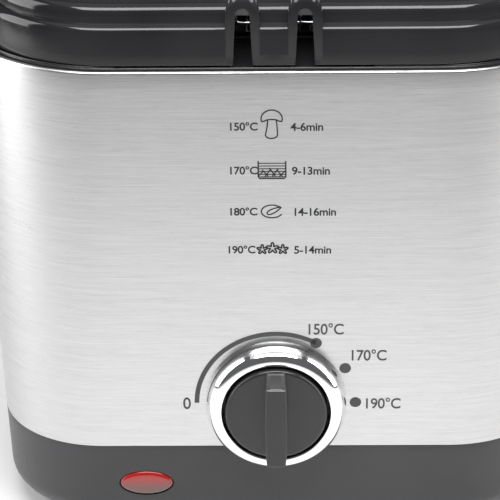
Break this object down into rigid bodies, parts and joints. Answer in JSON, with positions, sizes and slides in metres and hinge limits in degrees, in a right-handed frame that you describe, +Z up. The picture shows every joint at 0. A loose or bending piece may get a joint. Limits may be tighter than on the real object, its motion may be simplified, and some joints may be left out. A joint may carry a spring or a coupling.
{
  "type": "deep fryer",
  "caption": "Compact electric deep fryer: tapered brushed steel shell on a dark plastic base, front temperature dial, hinged gloss lid with window, wire basket.",
  "frame": {"origin": "under the feet, at the centre of the plan outline", "axes": "+X to the right seen from the front, -Y is the front with the dial, +Z up"},
  "size_m": [0.214, 0.2159, 0.2093],
  "materials": {
    "brushed_shell": "brushed",
    "base_plastic": "satin",
    "collar_plastic": "gloss",
    "lid_plastic": "gloss",
    "hinge_plastic": "satin",
    "rubber": "matte",
    "seal_rubber": "matte",
    "zinc_screw": "polished",
    "zinc_sheet": "satin",
    "non_stick": "satin",
    "cast_plate": "cast",
    "element_tube": "matte",
    "stat_case": "matte",
    "copper": "satin",
    "wire_sleeve": "matte",
    "lamp_red": "gloss",
    "lamp_holder": "matte",
    "bezel_chrome": "polished",
    "dial_plastic": "satin",
    "shaft_steel": "turned",
    "window_glass": "clear",
    "liner_metal": "satin",
    "strip_plastic": "satin",
    "filter_felt": "felt",
    "basket_wire": "bright wire",
    "grip_plastic": "satin"
  },
  "bodies": {
    "body": {"steel_shell": "brushed_shell", "base_housing": "base_plastic", "foot_front_left": "rubber", "foot_front_right": "rubber", "foot_rear_left": "rubber", "foot_rear_right": "rubber", "base_screws": "zinc_screw", "pot_posts": "zinc_sheet", "top_collar": "collar_plastic", "inner_pot": "non_stick", "heater_plate": "cast_plate", "heating_element": "element_tube", "heat_shield": "zinc_sheet", "thermal_cutout": "cast_plate", "thermostat_body": "stat_case", "thermostat_nut": "zinc_sheet", "thermostat_capillary": "copper", "terminal_block": "stat_case", "lead_wires": "wire_sleeve", "cord_gland": "rubber", "lamp_lens": "lamp_red", "lamp_body": "lamp_holder", "knob_bezel": "bezel_chrome", "hinge_bracket": "hinge_plastic", "hinge_pin": "zinc_screw", "hinge_screws": "zinc_screw"},
    "lid": {"lid_shell": "lid_plastic", "lid_window": "window_glass", "window_seal": "seal_rubber", "lid_liner": "liner_metal", "slot_strip": "strip_plastic", "lid_gasket": "seal_rubber", "lid_screws": "zinc_screw", "filter_cover": "lid_plastic", "filter_pad": "filter_felt"},
    "knob": {"knob_dial": "dial_plastic", "thermostat_shaft": "shaft_steel"},
    "basket": {"basket_mesh": "basket_wire", "basket_rim": "basket_wire", "basket_feet": "basket_wire", "handle_bracket": "zinc_sheet"},
    "handle": {"handle_wire": "basket_wire", "handle_grip": "grip_plastic"}
  },
  "joints": [
    {"name": "lid_hinge", "type": "hinge", "parent": "body", "child": "lid", "pos_m": [0, 0.1022, 0.186], "axis": [-1, 0, 0], "range_deg": [0, 88]},
    {"name": "knob_turn", "type": "hinge", "parent": "body", "child": "knob", "pos_m": [0, -0.09176, 0.0554], "axis": [0, -0.9991, -0.0413], "range_deg": [-90, 90]},
    {"name": "basket_lift", "type": "slide", "parent": "body", "child": "basket", "axis": [0, 0, 1], "range_m": [0, 0.012]},
    {"name": "handle_fold", "type": "hinge", "parent": "basket", "child": "handle", "pos_m": [0, -0.055, 0.168], "axis": [1, 0, 0], "range_deg": [0, 42]}
  ]
}
